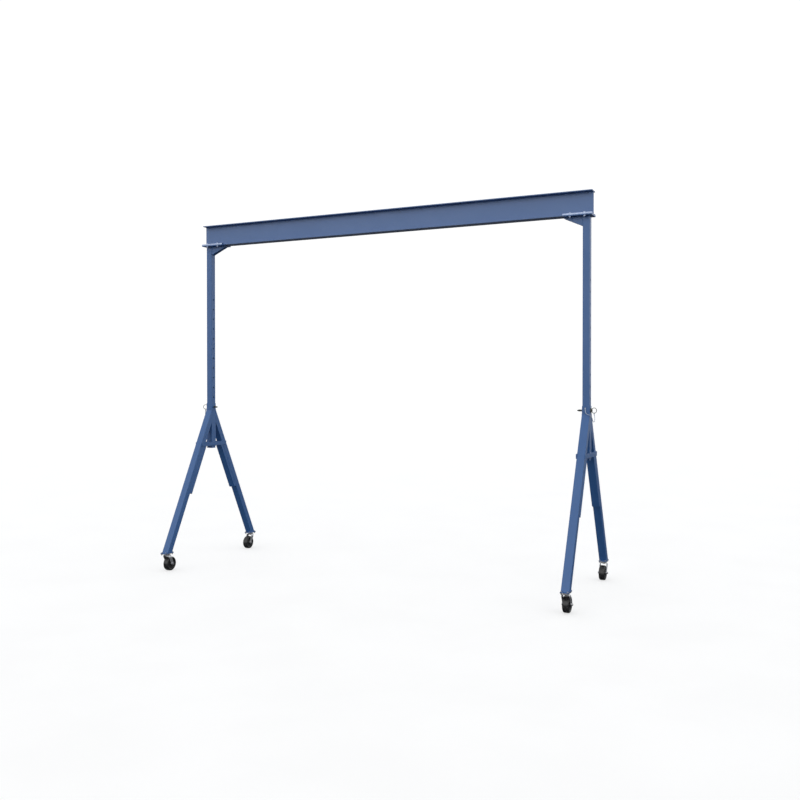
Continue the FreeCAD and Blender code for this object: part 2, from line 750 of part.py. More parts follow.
def bent_path(points):
    """Straight runs joined by tangent arcs, each as large as its two runs allow."""
    edges = []
    radii = []
    here = points[0]
    for before, corner, after in zip(points, points[1:], points[2:]):
        half_turn = (corner - before).getAngle(after - corner) / 2
        trim = ARC_SHARE * min((corner - before).Length, (after - corner).Length)
        radius = trim / math.tan(half_turn)
        arrive = corner + (before - corner).normalize() * trim
        leave = corner + (after - corner).normalize() * trim
        middle = (arrive + leave) * 0.5
        bulge = radius * (1 / math.cos(half_turn) - 1)
        crown = corner + (middle - corner).normalize() * bulge
        edges.append(Part.LineSegment(here, arrive).toShape())
        edges.append(Part.Arc(arrive, crown, leave).toShape())
        radii.append(radius)
        here = leave
    edges.append(Part.LineSegment(here, points[-1]).toShape())
    return Part.Wire(edges), radii


def make_lanyard(end, way, turn):
    """Cable that keeps the height pin with its A-frame."""
    points = [FreeCAD.Vector(*point) for point in LANYARD_ROUTE]
    path, radii = bent_path(points)
    radius = sheet.lanyard_diameter / 2
    start = (points[1] - points[0]).normalize()
    section = Part.Wire(Part.Circle(points[0], start, radius).toShape())
    tube = path.makePipeShell([section], True, False)
    lanyard = doc.addObject("Part::Feature", f"{end}_pin_lanyard")
    lanyard.Shape = tube
    expected = math.pi * radius ** 2 * path.Length
    print(f"{end}_pin_lanyard: length {path.Length:.1f}, volume {tube.Volume / expected:.4f} of"
          f" section times length, bend radii {' '.join(f'{bend:.0f}' for bend in radii)}")
    return node(lanyard, f"{end}_pin_lanyard", end_base(way, "sleeve_top"), turn)


# ---------------------------------------------------------------- assembly and export

make_beam()
for end_name, end_way, end_turn in ENDS:
    for maker in (make_upright, make_cap_plate, make_knee_bracket, make_beam_clamps, make_sleeve,
                  make_cross_bars, make_height_pin, make_lanyard):
        maker(end_name, end_way, end_turn)
    for side_name, side_sign, side_turn in SIDES:
        for maker in (make_leg, make_stiffener):
            maker(end_name, end_way, side_name, side_turn)
        for maker in (make_foot_plate, make_caster_plate, make_fork):
            maker(end_name, end_way, side_name, side_sign, side_turn)
        for maker in (make_axle, make_wheel):
            maker(end_name, end_way, side_name, side_sign)
doc.recompute()

for thing in doc.Objects:
    if "Invalid" in thing.State or "Error" in thing.State:
        raise RuntimeError(f"{thing.Name} failed: {thing.State}")
for thing in nodes:
    if thing.Shape.isNull() or not thing.Shape.isValid():
        raise RuntimeError(f"{thing.Label} has no valid shape")

os.makedirs("parts", exist_ok=True)
for thing in nodes:
    thing.Shape.exportStep(f"parts/{thing.Label}.step")
print(f"{len(nodes)} sub-parts written")
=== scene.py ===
import json
import math

import bpy
import numpy as np
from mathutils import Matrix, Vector


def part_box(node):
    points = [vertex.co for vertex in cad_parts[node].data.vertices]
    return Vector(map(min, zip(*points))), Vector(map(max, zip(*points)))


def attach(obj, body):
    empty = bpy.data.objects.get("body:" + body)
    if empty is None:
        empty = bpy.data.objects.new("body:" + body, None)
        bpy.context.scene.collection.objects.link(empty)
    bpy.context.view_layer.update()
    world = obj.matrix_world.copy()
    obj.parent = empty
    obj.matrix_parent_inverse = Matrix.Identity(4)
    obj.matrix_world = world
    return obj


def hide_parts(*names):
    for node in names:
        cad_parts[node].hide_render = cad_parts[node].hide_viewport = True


# Adjustable-height gantry crane.  Metres; X runs along the beam, Y to the rear, Z up from the floor.
# The frame brings the plates, tubes and beam.  Added here are the lanyards, bolts, weld beads, bent
# forks and moulded wheels, and the finish of every surface.  Each end is worked out in a frame of its
# own (X pointing outboard, -Y to the front) and each leg and caster as the front one, then turned.

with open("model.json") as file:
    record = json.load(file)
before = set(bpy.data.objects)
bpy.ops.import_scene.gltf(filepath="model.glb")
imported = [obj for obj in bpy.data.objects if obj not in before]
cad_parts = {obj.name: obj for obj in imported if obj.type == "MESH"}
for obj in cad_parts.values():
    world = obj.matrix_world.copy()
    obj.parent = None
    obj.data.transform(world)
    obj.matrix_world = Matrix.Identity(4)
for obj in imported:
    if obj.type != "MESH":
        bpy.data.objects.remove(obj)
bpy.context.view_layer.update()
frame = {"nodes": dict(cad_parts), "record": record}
nodes = frame["nodes"]

# ------------------------------------------------------------------ sizes

ENDS = (("left", -1), ("right", 1))
SIDES = (("front", 1), ("rear", -1))


def size_of(node):
    """Width, depth and height of a CAD node."""
    low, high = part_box(node)
    return high - low


upright_low, upright_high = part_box("right_upright")
leg_low, leg_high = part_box("right_front_leg")
bars_low, bars_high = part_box("right_cross_bars")
cap_low, cap_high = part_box("right_cap_plate")
clamp_low, clamp_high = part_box("right_beam_clamps")
foot_low, foot_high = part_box("right_front_foot_plate")
wheel_low, wheel_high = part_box("right_front_wheel")

UPRIGHT_X = (upright_low.x + upright_high.x) / 2
UPRIGHT_HALF = size_of("right_upright").x / 2
UPRIGHT_CORNER = 0.006
SLEEVE_HALF = size_of("right_sleeve").x / 2
TUBE_CORNER = 0.006
SLEEVE_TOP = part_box("right_sleeve")[1].z

FOOT_TOP = leg_low.z
LEG_HEAD = leg_high.z
LEG_REACH = -leg_low.y
LEG_SLOPE = (LEG_REACH - SLEEVE_HALF) / (LEG_HEAD - FOOT_TOP)
LEG_SKEW = math.hypot(1, LEG_SLOPE)
LEG_DEPTH = 0.093
STIFFENER_DEPTH = 0.046
STIFFENER_FOOT = 1.095
STIFFENER_INNER = LEG_DEPTH + STIFFENER_DEPTH

BAR_TOP = bars_high.z
BAR_BOTTOM = bars_low.z

CAP_BOTTOM = cap_low.z
CAP_TOP = cap_high.z
CAP_HALF = size_of("right_cap_plate").y / 2
CAP_INBOARD = cap_low.x - UPRIGHT_X
CAP_OUTBOARD = cap_high.x - UPRIGHT_X
CAP_MIDDLE = (cap_low.x + cap_high.x) / 2 - UPRIGHT_X
CLAMP_TOP = clamp_high.z
CLAMP_GAP = 0.0015
FLANGE_HALF = size_of("i_beam").y / 2
FLANGE_THICKNESS = 0.0112
FLANGE_TOP = clamp_low.z + FLANGE_THICKNESS
knee_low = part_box("right_knee_bracket")[0]
KNEE_FAR = UPRIGHT_X - knee_low.x
KNEE_DROP = CAP_BOTTOM - knee_low.z
STRAP_HALF = size_of("right_knee_bracket").y / 2

SWIVEL_Y = (foot_low.y + foot_high.y) / 2
CASTER_PLATE = 0.0064
CASTER_PLATE_BOTTOM = foot_low.z - CASTER_PLATE
AXLE_Y = (wheel_low.y + wheel_high.y) / 2
AXLE_Z = (wheel_low.z + wheel_high.z) / 2
CASTER_LEAD = AXLE_Y - SWIVEL_Y

# Route of the right lanyard in its end's own frame, Z from the top of the sleeve
LANYARD_ROUTE = (
    (-0.006, -0.060, -0.023),
    (-0.006, -0.062, -0.045),
    (-0.002, -0.067, -0.073),
    (0.008, -0.075, -0.097),
    (0.030, -0.079, -0.110),
    (0.056, -0.078, -0.116),
    (0.073, -0.063, -0.134),
    (0.080, -0.045, -0.157),
    (0.082, -0.034, -0.178),
    (0.085, -0.026, -0.195),
    (0.090, -0.017, -0.205),
    (0.097, -0.005, -0.205),
    (0.101, 0.004, -0.194),
    (0.103, 0.010, -0.177),
    (0.102, 0.015, -0.152),
    (0.098, 0.018, -0.129),
    (0.094, 0.020, -0.111),
    (0.091, 0.021, -0.095),
)
LANYARD_DIAMETER = 0.008

# ------------------------------------------------------------------ meshes from arrays


def around(count):
    """Evenly spaced angles of one turn."""
    return np.arange(count) * (2 * np.pi / count)


def surface(points, along_closed=False, ends_closed=True):
    """Faces over a grid of points (along, around): quads between neighbours, wrapped around each
    section, and along the path too where that is closed; an open path's ends close on a pole at the
    middle of the end section."""
    rows, columns = points.shape[:2]
    corners = points.reshape(-1, 3)
    index = np.arange(rows * columns).reshape(rows, columns)
    here = index if along_closed else index[:-1]
    there = np.roll(index, -1, axis=0) if along_closed else index[1:]
    quads = np.stack([here, np.roll(here, -1, axis=1), np.roll(there, -1, axis=1), there], axis=-1)
    faces = [quads.reshape(-1, 4)]
    if ends_closed and not along_closed:
        poles = np.array([points[0].mean(axis=0), points[-1].mean(axis=0)])
        corners = np.vstack([corners, poles])
        first, last = index[0], index[-1]
        near = np.full(columns, rows * columns)
        faces.append(np.stack([near, np.roll(first, -1), first], axis=-1))
        faces.append(np.stack([near + 1, last, np.roll(last, -1)], axis=-1))
    return corners, faces


def turned(profile, count):
    """Surface of revolution about Z: each (radius, height) of the profile carried round a circle."""
    angle = around(count)
    radius, height = np.asarray(profile, float).T
    return np.stack([
        radius[:, None] * np.cos(angle),
        radius[:, None] * np.sin(angle),
        np.broadcast_to(height[:, None], (len(height), count)),
    ], axis=-1)


def moved(patch, by):
    """A patch shifted by a vector."""
    corners, faces = patch
    return corners + np.asarray(by, float), faces


def half_turned(patch, way):
    """A patch turned half a turn about Z where way is -1."""
    corners, faces = patch
    return corners * (way, way, 1), faces


def tipped(patch, axis):
    """A patch drawn along +Z laid along another direction by the rotation that takes Z there."""
    corners, faces = patch
    turn = np.array(Vector(axis).to_track_quat("Z", "Y").to_matrix())
    return corners @ turn.T, faces


def joined(patches):
    """Several patches as one."""
    start = 0
    all_corners, all_faces = [], []
    for corners, faces in patches:
        all_corners.append(corners)
        all_faces += [face + start for face in faces]
        start += len(corners)
    return np.vstack(all_corners), all_faces


def make_piece(name, patch, body, finish, sharp=35):
    """A mesh object of a patch, in place, that rides on a body."""
    corners, faces = patch
    mesh = bpy.data.meshes.new(name)
    mesh.from_pydata(corners.tolist(), [], [corner for face in faces for corner in face.tolist()])
    mesh.shade_smooth()
    mesh.set_sharp_from_angle(angle=math.radians(sharp))
    mesh.materials.append(finish)
    piece = bpy.data.objects.new(name, mesh)
    bpy.context.scene.collection.objects.link(piece)
    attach(piece, body)
    return piece


SPLINE_STEPS = 12


def smooth_path(route):
    """Points along the NURBS spline of a route: quadratic pieces through its first and last points,
    pulled towards the ones between."""
    curve = bpy.data.curves.new("route", "CURVE")
    curve.dimensions = "3D"
    curve.resolution_u = SPLINE_STEPS
    spline = curve.splines.new("NURBS")
    spline.points.add(len(route) - 1)
    spline.points.foreach_set("co", np.column_stack([route, np.ones(len(route))]).ravel())
    spline.order_u = 3
    spline.use_endpoint_u = True
    holder = bpy.data.objects.new("route", curve)
    line = bpy.data.meshes.new_from_object(holder)
    points = np.empty(len(line.vertices) * 3)
    line.vertices.foreach_get("co", points)
    bpy.data.objects.remove(holder)
    bpy.data.curves.remove(curve)
    bpy.data.meshes.remove(line)
    return points.reshape(-1, 3)


def unit(vectors):
    """Vectors at length one."""
    vectors = np.asarray(vectors, float)
    return vectors / np.linalg.norm(vectors, axis=-1, keepdims=True)


def evenly(points, step):
    """A path sampled again at an even step, with its first and last points kept."""
    points = np.asarray(points, float)
    reach = np.concatenate([[0], np.cumsum(np.linalg.norm(np.diff(points, axis=0), axis=1))])
    count = max(2, int(round(reach[-1] / step)) + 1)
    wanted = np.linspace(0, reach[-1], count)
    return np.stack([np.interp(wanted, reach, points[:, k]) for k in range(3)], axis=1), wanted


ASKEW = (0.3, 1.0, 0.2)


def frames_along(path):
    """Directions along a path and two square to them, carried along with no twist about the path:
    each step turns the last pair by the least rotation onto the new direction.  ASKEW is a direction
    that no path starts along."""
    forward = unit(np.gradient(path, axis=0))
    side = np.empty_like(forward)
    side[0] = unit(np.cross(forward[0], ASKEW))
    for step in range(1, len(path)):
        flat = side[step - 1] - forward[step] * np.dot(side[step - 1], forward[step])
        side[step] = flat / np.linalg.norm(flat)
    return forward, side, np.cross(forward, side)


def tube(path, distance, angle):
    """A tube along a path: about each point a circle whose radius may vary along it and around it."""
    _, side, lift = frames_along(path)
    sideways = np.cos(angle)[None, :, None] * side[:, None, :]
    ring = sideways + np.sin(angle)[None, :, None] * lift[:, None, :]
    return surface(path[:, None, :] + distance[..., None] * ring)


def eased(corners, reach, steps=4):
    """An outline with its corners turned into short curves: at each corner P the points
    (1 - t)^2 A + 2 t (1 - t) P + t^2 B, where A and B lie a given reach away along its two runs."""
    corners = np.asarray(corners, float)
    here, before, after = corners[1:-1], corners[:-2], corners[2:]
    reach = np.broadcast_to(np.asarray(reach, float), len(here))[:, None]
    start = here + unit(before - here) * reach
    end = here + unit(after - here) * reach
    t = np.linspace(0, 1, steps + 1)[None, :, None]
    curve = (1 - t) ** 2 * start[:, None] + 2 * t * (1 - t) * here[:, None] + t ** 2 * end[:, None]
    return np.vstack([corners[:1], curve.reshape(-1, corners.shape[1]), corners[-1:]])


QUARTER_POINTS = 5


def plate_section(half_width, half_depth, ease):
    """Sections of a flat bar with rounded edges, anticlockwise, one for each half width and half
    depth given: four quarter circles about the middles of its corners."""
    quarter = np.linspace(0, np.pi / 2, QUARTER_POINTS)
    angle = (quarter[None, :] + np.arange(4)[:, None] * np.pi / 2).ravel()
    to_right = np.repeat((1, -1, -1, 1), QUARTER_POINTS)
    to_top = np.repeat((1, 1, -1, -1), QUARTER_POINTS)
    across = to_right * (half_width[:, None] - ease) + ease * np.cos(angle)
    through = to_top * (half_depth[:, None] - ease) + ease * np.sin(angle)
    return across, through


# ------------------------------------------------------------------ finishes


class Finish:
    """A material with a Principled shader and short ways to add nodes to it."""

    def __init__(self, name):
        """A new material of that name whose shader has plain settings."""
        self.material = bpy.data.materials.new(name)
        self.material.use_nodes = True
        self.tree = self.material.node_tree
        self.tree.nodes.clear()
        self.shader = self.add("ShaderNodeBsdfPrincipled")
        output = self.add("ShaderNodeOutputMaterial")
        self.link(self.shader.outputs["BSDF"], output.inputs["Surface"])
        self.place = self.add("ShaderNodeTexCoord").outputs["Object"]

    def add(self, kind, **settings):
        """A new node with its settings."""
        made = self.tree.nodes.new(kind)
        for name, value in settings.items():
            setattr(made, name, value)
        return made

    def link(self, source, target):
        """Join an output to an input."""
        self.tree.links.new(source, target)

    def feed(self, socket, value):
        """Link an output to a socket, or set the socket to a plain value."""
        if isinstance(value, bpy.types.NodeSocket):
            self.link(value, socket)
        else:
            socket.default_value = value

    def stretched(self, x, y, z):
        """Object coordinates with each axis scaled."""
        mapping = self.add("ShaderNodeMapping")
        self.link(self.place, mapping.inputs["Vector"])
        mapping.inputs["Scale"].default_value = (x, y, z)
        return mapping.outputs["Vector"]

    def noise(self, scale, detail=3.0, roughness=0.5, place=None):
        """Fractal noise on object coordinates, from about 0.3 to 0.7."""
        made = self.add("ShaderNodeTexNoise")
        self.link(place or self.place, made.inputs["Vector"])
        for name, number in (("Scale", scale), ("Detail", detail), ("Roughness", roughness)):
            made.inputs[name].default_value = number
        return made.outputs["Fac"]

    def span(self, value, low, high, to_low=0.0, to_high=1.0):
        """A value's range carried onto another, smoothly and held at its ends."""
        made = self.add("ShaderNodeMapRange", interpolation_type="SMOOTHSTEP")
        for name, number in (("From Min", low), ("From Max", high), ("To Min", to_low), ("To Max", to_high)):
            made.inputs[name].default_value = number
        self.feed(made.inputs["Value"], value)
        return made.outputs["Result"]

    def maths(self, operation, first, second):
        """The result of a sum on two values."""
        made = self.add("ShaderNodeMath", operation=operation)
        self.feed(made.inputs[0], first)
        self.feed(made.inputs[1], second)
        return made.outputs["Value"]

    def blend(self, share, first, second):
        """One colour turning into another."""
        made = self.add("ShaderNodeMix", data_type="RGBA")
        self.feed(made.inputs["Factor"], share)
        self.feed(made.inputs[6], first if isinstance(first, bpy.types.NodeSocket) else (*first, 1))
        self.feed(made.inputs[7], second if isinstance(second, bpy.types.NodeSocket) else (*second, 1))
        return made.outputs[2]

    def edges(self, radius, low, high):
        """Share from 0 on the flat to 1 on an outside or inside edge, where a rounded normal would
        lean away from the face's own."""
        bevel = self.add("ShaderNodeBevel", samples=4)
        bevel.inputs["Radius"].default_value = radius
        own = self.add("ShaderNodeNewGeometry").outputs["Normal"]
        dot = self.add("ShaderNodeVectorMath", operation="DOT_PRODUCT")
        self.link(bevel.outputs["Normal"], dot.inputs[0])
        self.link(own, dot.inputs[1])
        return self.span(dot.outputs["Value"], high, low)

    def upward(self, low, high):
        """Share of a face that looks up."""
        own = self.add("ShaderNodeNewGeometry").outputs["Normal"]
        parts = self.add("ShaderNodeSeparateXYZ")
        self.link(own, parts.inputs[0])
        return self.span(parts.outputs["Z"], low, high)

    def bump(self, height, distance, strength):
        """A normal that leans as a fine relief of that height would make it lean."""
        made = self.add("ShaderNodeBump")
        made.inputs["Strength"].default_value = strength
        made.inputs["Distance"].default_value = distance
        self.link(height, made.inputs["Height"])
        return made.outputs["Normal"]

    def set(self, **sockets):
        """Feed the shader's sockets by name, with _ for a space, and give the material."""
        for name, value in sockets.items():
            self.feed(self.shader.inputs[name.replace("_", " ")], value)
        return self.material


PAINT = (0.034, 0.112, 0.302)
PAINT_DEEP = (0.029, 0.104, 0.286)
# The beam's paint is a lighter, greyer copy of the blue: a painted sheen on the beam's web.
BEAM_PAINT_WITH_SHEEN = (0.068, 0.145, 0.335)
BEAM_PAINT_DEEP_WITH_SHEEN = (0.060, 0.135, 0.320)
# Paler blue for the edges: partly thinner paint, partly a painted edge highlight.
PAINT_THIN_AND_EDGE_HIGHLIGHT = (0.075, 0.160, 0.345)
BARE_STEEL = (0.36, 0.37, 0.39)
FLOOR_DUST = (0.30, 0.31, 0.33)
WHEEL_BLACK = (0.013, 0.013, 0.014)
TREAD_DUST = (0.14, 0.135, 0.13)
# The wire's light blue tint is a painted highlight.
WIRE_DARK = (0.38, 0.44, 0.52)
WIRE_LIGHT = (0.50, 0.54, 0.60)
THIN_AND_HIGHLIGHT_SHARE = 0.55
CHIP_METAL = 0.8
DUST_DULLING = 0.6
COAT = 0.15
COAT_ROUGHNESS = 0.25
WORN_AND_HIGHLIGHT_SHARE = 0.35
STAIN_SHARE = 0.45
SCUFF_SHARE = 0.30


def blue_enamel(name, deep, full):
    """Sprayed enamel: faint orange peel, slow drift in tone, paler on the edges (partly thinner paint,
    partly a painted edge highlight) with a few chips.
    """
    f = Finish(name)
    tone = f.span(f.noise(scale=2.3, detail=5.0), low=0.30, high=0.70)
    colour = f.blend(tone, deep, full)
    edge = f.edges(radius=0.0025, low=0.90, high=0.995)
    # Paler paint on the edges: partly thinner paint, partly a painted edge highlight.
    thin_and_highlight = f.maths("MULTIPLY", edge, THIN_AND_HIGHLIGHT_SHARE)
    colour = f.blend(thin_and_highlight, colour, PAINT_THIN_AND_EDGE_HIGHLIGHT)
    spots = f.span(f.noise(scale=38, detail=5.0, roughness=0.65), low=0.60, high=0.64)
    chip = f.maths("MULTIPLY", f.span(edge, low=0.35, high=0.8), spots)
    colour = f.blend(chip, colour, BARE_STEEL)
    drift = f.noise(scale=9, detail=5.0, roughness=0.6)
    settled = f.span(drift, low=0.35, high=0.75, to_low=0.04, to_high=0.22)
    dust = f.maths("MULTIPLY", f.upward(low=0.75, high=0.98), settled)
    colour = f.blend(dust, colour, FLOOR_DUST)
    sheen = f.span(f.noise(scale=5.5, detail=4.0), low=0.3, high=0.7, to_low=0.38, to_high=0.43)
    rough = f.maths("ADD", sheen, f.maths("MULTIPLY", dust, DUST_DULLING))
    peel = f.bump(f.noise(scale=420, detail=2.0), distance=0.00025, strength=0.35)
    f.shader.inputs["Coat Weight"].default_value = COAT
    f.shader.inputs["Coat Roughness"].default_value = COAT_ROUGHNESS
    bare = f.maths("MULTIPLY", chip, CHIP_METAL)
    return f.set(Base_Color=colour, Roughness=rough, Metallic=bare, Normal=peel)


def plated(name, dark, light, worn_and_highlight, stained):
    """Plated or bare metal: clouded, brighter on its edges (partly wear, partly a painted edge highlight),
    stained here and there, with fine handling marks."""
    f = Finish(name)
    cloud = f.span(f.noise(scale=26, detail=4.0, roughness=0.6), low=0.35, high=0.65)
    colour = f.blend(cloud, dark, light)
    edge = f.edges(radius=0.0012, low=0.90, high=0.995)
    # Brighter edges: partly rubbed wear, partly a painted edge highlight.
    colour = f.blend(f.maths("MULTIPLY", edge, WORN_AND_HIGHLIGHT_SHARE), colour, worn_and_highlight)
    spots = f.span(f.noise(scale=70, detail=5.0, roughness=0.7), low=0.58, high=0.72)
    colour = f.blend(f.maths("MULTIPLY", spots, STAIN_SHARE), colour, stained)
    rough = f.span(f.noise(scale=60, detail=3.0), low=0.3, high=0.7, to_low=0.26, to_high=0.44)
    scratches = f.noise(scale=30, detail=3.0, roughness=0.6, place=f.stretched(x=1, y=14, z=14))
    marks = f.bump(scratches, distance=0.0002, strength=0.25)
    return f.set(Base_Color=colour, Roughness=rough, Metallic=1.0, Normal=marks)


def moulded_black():
    """Moulded wheel: satin black, with floor dust and fine scuffs worked into the tread."""
    f = Finish("moulded_black")
    tread = f.add("ShaderNodeAttribute", attribute_name="tread").outputs["Fac"]
    rubbed = f.span(f.noise(scale=48, detail=6.0, roughness=0.7), low=0.45, high=0.68)
    scuff = f.maths("MULTIPLY", tread, rubbed)
    colour = f.blend(f.maths("MULTIPLY", scuff, SCUFF_SHARE), WHEEL_BLACK, TREAD_DUST)
    rough = f.span(scuff, low=0.0, high=1.0, to_low=0.30, to_high=0.62)
    grain = f.bump(f.noise(scale=300, detail=3.0), distance=0.0003, strength=0.35)
    return f.set(Base_Color=colour, Roughness=rough, Normal=grain)


def wire_steel():
    """Galvanised wire: grey with a light blue tint that is a painted highlight, drifting in tone."""
    f = Finish("wire_steel")
    tone = f.span(f.noise(scale=160, detail=4.0), low=0.35, high=0.65)
    colour = f.blend(tone, WIRE_DARK, WIRE_LIGHT)
    rough = f.span(f.noise(scale=220, detail=2.0), low=0.3, high=0.7, to_low=0.28, to_high=0.42)
    grain = f.bump(f.noise(scale=900, detail=2.0), distance=0.0001, strength=0.4)
    return f.set(Base_Color=colour, Roughness=rough, Metallic=1.0, Normal=grain)


enamel = blue_enamel("blue_enamel", PAINT_DEEP, PAINT)
# Lighter copy of the blue enamel for the beam: painted sheen.
beam_enamel_painted_sheen = blue_enamel("beam_enamel_painted_sheen", BEAM_PAINT_DEEP_WITH_SHEEN, BEAM_PAINT_WITH_SHEEN)
# The bright zinc's blue tint is a painted reflection of the blue paint around it.
bright_painted_reflection = plated("bright_zinc_painted_reflection", dark=(0.32, 0.38, 0.54), light=(0.37, 0.43, 0.55),
                worn_and_highlight=(0.48, 0.51, 0.60), stained=(0.24, 0.25, 0.28))
zinc = plated("dull_zinc", dark=(0.46, 0.47, 0.50), light=(0.56, 0.56, 0.56),
              worn_and_highlight=(0.72, 0.72, 0.74), stained=(0.30, 0.30, 0.29))
oiled = plated("oiled_steel", dark=(0.075, 0.080, 0.070), light=(0.12, 0.12, 0.105),
               worn_and_highlight=(0.26, 0.26, 0.25), stained=(0.05, 0.045, 0.04))
black = moulded_black()
wire = wire_steel()
FINISH_OF_SLOT = {"blue_paint": enamel, "zinc_plate": zinc, "black_wheel": black, "wire_rope": wire}
FINISH_OF_NODE = {"i_beam": beam_enamel_painted_sheen, "left_height_pin": oiled, "right_height_pin": oiled}

for part in frame["record"]["subparts"]:
    mesh = nodes[part["node"]].data
    mesh.materials.clear()
    mesh.materials.append(FINISH_OF_NODE.get(part["node"], FINISH_OF_SLOT[part["material_slot"]]))

# ------------------------------------------------------------------ lanyards

STRANDS = 6
STRAND_DEPTH = 0.10
LAY_LENGTH = 0.030
ROPE_STEPS = 24
ROPE_SIDES = 36


def rope(path, radius):
    """Laid wire rope: about each point of the path a circle of radius
    r (1 + d (cos(n (a - 2 pi s / lay)) - 1) / 2), so that n lobes wind once round in each lay length."""
    path, reach = evenly(path, LAY_LENGTH / ROPE_STEPS)
    angle = around(ROPE_SIDES)
    wave = np.cos(STRANDS * (angle[None, :] - 2 * np.pi * reach[:, None] / LAY_LENGTH))
    return tube(path, radius * (1 + STRAND_DEPTH * (wave - 1) / 2), angle)


FERRULE_PROFILE = ((0.0046, 0.0), (0.0058, 0.0008), (0.0062, 0.0025), (0.0062, 0.0125), (0.0058, 0.0142),
                   (0.0046, 0.015))
EYE_RADIUS = 0.0068
EYE_WIRE = 0.0024
FITTING_SIDES = 24
FERRULE_WIDE = 1.25
FERRULE_DEEP = 0.95
EYE_STEPS = 32
EYE_SIDES = 12
EYE_LIFT = 0.0020
FERRULE_BACK = 0.0005
FERRULE_DROP = 0.0085
# Points of the path towards which the ferrules lean
NEAR_LUG = 3
NEAR_RING = -12
RING_TURN = math.radians(38)


def ferrule(at, direction):
    """Crimped sleeve: a turned profile, longer across than deep, laid along the cable."""
    corners, faces = surface(turned(FERRULE_PROFILE, FITTING_SIDES))
    return moved(tipped((corners * (FERRULE_WIDE, FERRULE_DEEP, 1), faces), direction), at)


def eye(centre, axis):
    """Cable eye: a circle of radius R about the ring's wire, thickened by a circle of radius r."""
    angle = around(EYE_STEPS)
    wire_angle = around(EYE_SIDES)
    out = EYE_RADIUS + EYE_WIRE * np.cos(wire_angle)[None, :]
    points = np.stack([
        out * np.cos(angle)[:, None],
        out * np.sin(angle)[:, None],
        np.broadcast_to(EYE_WIRE * np.sin(wire_angle), (EYE_STEPS, EYE_SIDES)),
    ], axis=-1)
    return moved(tipped(surface(points, along_closed=True), axis), centre)


for end, way in ENDS:
    route = np.array(LANYARD_ROUTE) + (0, 0, SLEEVE_TOP)
    route = route * (way, way, 1) + (way * UPRIGHT_X, 0, 0)
    line = smooth_path(route)
    cable = make_piece(f"{end}_lanyard_cable", rope(line, LANYARD_DIAMETER / 2), f"{end}_frame",
                       wire)
    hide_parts(f"{end}_pin_lanyard")
    axis = unit((way * math.cos(RING_TURN), way * math.sin(RING_TURN), 0))
    at_ring = line[-1] + (0, 0, EYE_LIFT)
    fittings = make_piece(f"{end}_lanyard_fittings", joined([
        ferrule(line[0] - (0, 0, FERRULE_BACK), unit(line[NEAR_LUG] - line[0])),
        ferrule(at_ring - (0, 0, FERRULE_DROP), unit(line[NEAR_RING] - line[-1])),
        eye(at_ring, axis),
    ]), f"{end}_frame", wire)

# ------------------------------------------------------------------ bolts and nuts

CROWN_SHARE = 0.47
THREAD_PITCH = 0.0018
THREAD_DEPTH = 0.0009
THREAD_STEPS = 6
THREAD_SIDES = 20
HEXAGON_SIDES = 48
SIXTH = np.pi / 3
CROWN_ANGLE = math.radians(30)
WASHER_SIDES = 40
WASHER_RIM = 0.8
# Sizes of a bolt's parts as shares of its shank, as in the standard sizes
WASHER_WIDE = 2
WASHER_THICK = 0.18
FLATS_WIDE = 1.5
HEAD_TALL = 0.64
NUT_TALL = 0.85
THREAD_OUT = 0.55


def hexagonal(flats, height):
    """Hexagon standing on Z = 0.  Its radius is half the flats over the cosine of the angle from the
    nearest flat's middle, and a cone of 30 degrees takes the corners off its top."""
    angle = around(HEXAGON_SIDES)
    from_flat = (angle + SIXTH / 2) % SIXTH - SIXTH / 2
    radius = flats / 2 / np.cos(from_flat)
    crown = np.full_like(radius, flats * CROWN_SHARE)
    shoulder = height - (radius - crown) * math.tan(CROWN_ANGLE)
    radii = np.stack([radius, radius, crown])
    heights = np.stack([np.zeros_like(radius), shoulder, np.full_like(radius, height)])
    return surface(np.stack([radii * np.cos(angle), radii * np.sin(angle), heights], axis=-1))


def thread_end(diameter, length):
    """Threaded end standing on Z = 0: its radius dips by a cosine of z / pitch less the share of the
    turn, so that one groove winds round in each pitch, and the last pitch narrows."""
    height = np.linspace(0, length, int(round(length / THREAD_PITCH * THREAD_STEPS)) + 1)
    angle = around(THREAD_SIDES)
    groove = 0.5 - 0.5 * np.cos(2 * np.pi * height[:, None] / THREAD_PITCH - angle[None, :])
    point = np.clip((height - length + THREAD_PITCH) / THREAD_PITCH, 0, 1)
    radius = diameter / 2 - THREAD_DEPTH * (groove + point[:, None])
    return surface(np.stack([
        radius * np.cos(angle),
        radius * np.sin(angle),
        np.broadcast_to(height[:, None], radius.shape),
    ], axis=-1))


def washer(diameter, thickness):
    """Flat disc on Z = 0 with its edges eased."""
    half = diameter / 2
    flat = half * WASHER_RIM
    outline = eased(((flat, 0), (half, 0), (half, thickness), (flat, thickness)), thickness / 4, steps=2)
    return surface(turned(outline, WASHER_SIDES))


def through_bolt(x, y, top, bottom, shank):
    """A bolt that holds plates together: washer and head above, washer, nut and thread end below."""
    sheet = shank * WASHER_THICK
    flats = shank * FLATS_WIDE
    disc = washer(shank * WASHER_WIDE, sheet)
    above = joined([disc, moved(hexagonal(flats, shank * HEAD_TALL), (0, 0, sheet))])
    below = joined([
        disc,
        moved(hexagonal(flats, shank * NUT_TALL), (0, 0, sheet)),
        moved(thread_end(shank, shank * THREAD_OUT), (0, 0, sheet + shank * NUT_TALL)),
    ])
    return joined([moved(above, (x, y, top)), moved(tipped(below, (0, 0, -1)), (x, y, bottom))])


CLAMP_BOLT = 0.0159
CLAMP_BOLT_X = 0.095
CLAMP_BOLT_Y = 0.099
PLATE_BOLT = 0.0120
PLATE_BOLT_X = 0.038
PLATE_BOLT_Y = 0.071
BOLT_SHARP = 25


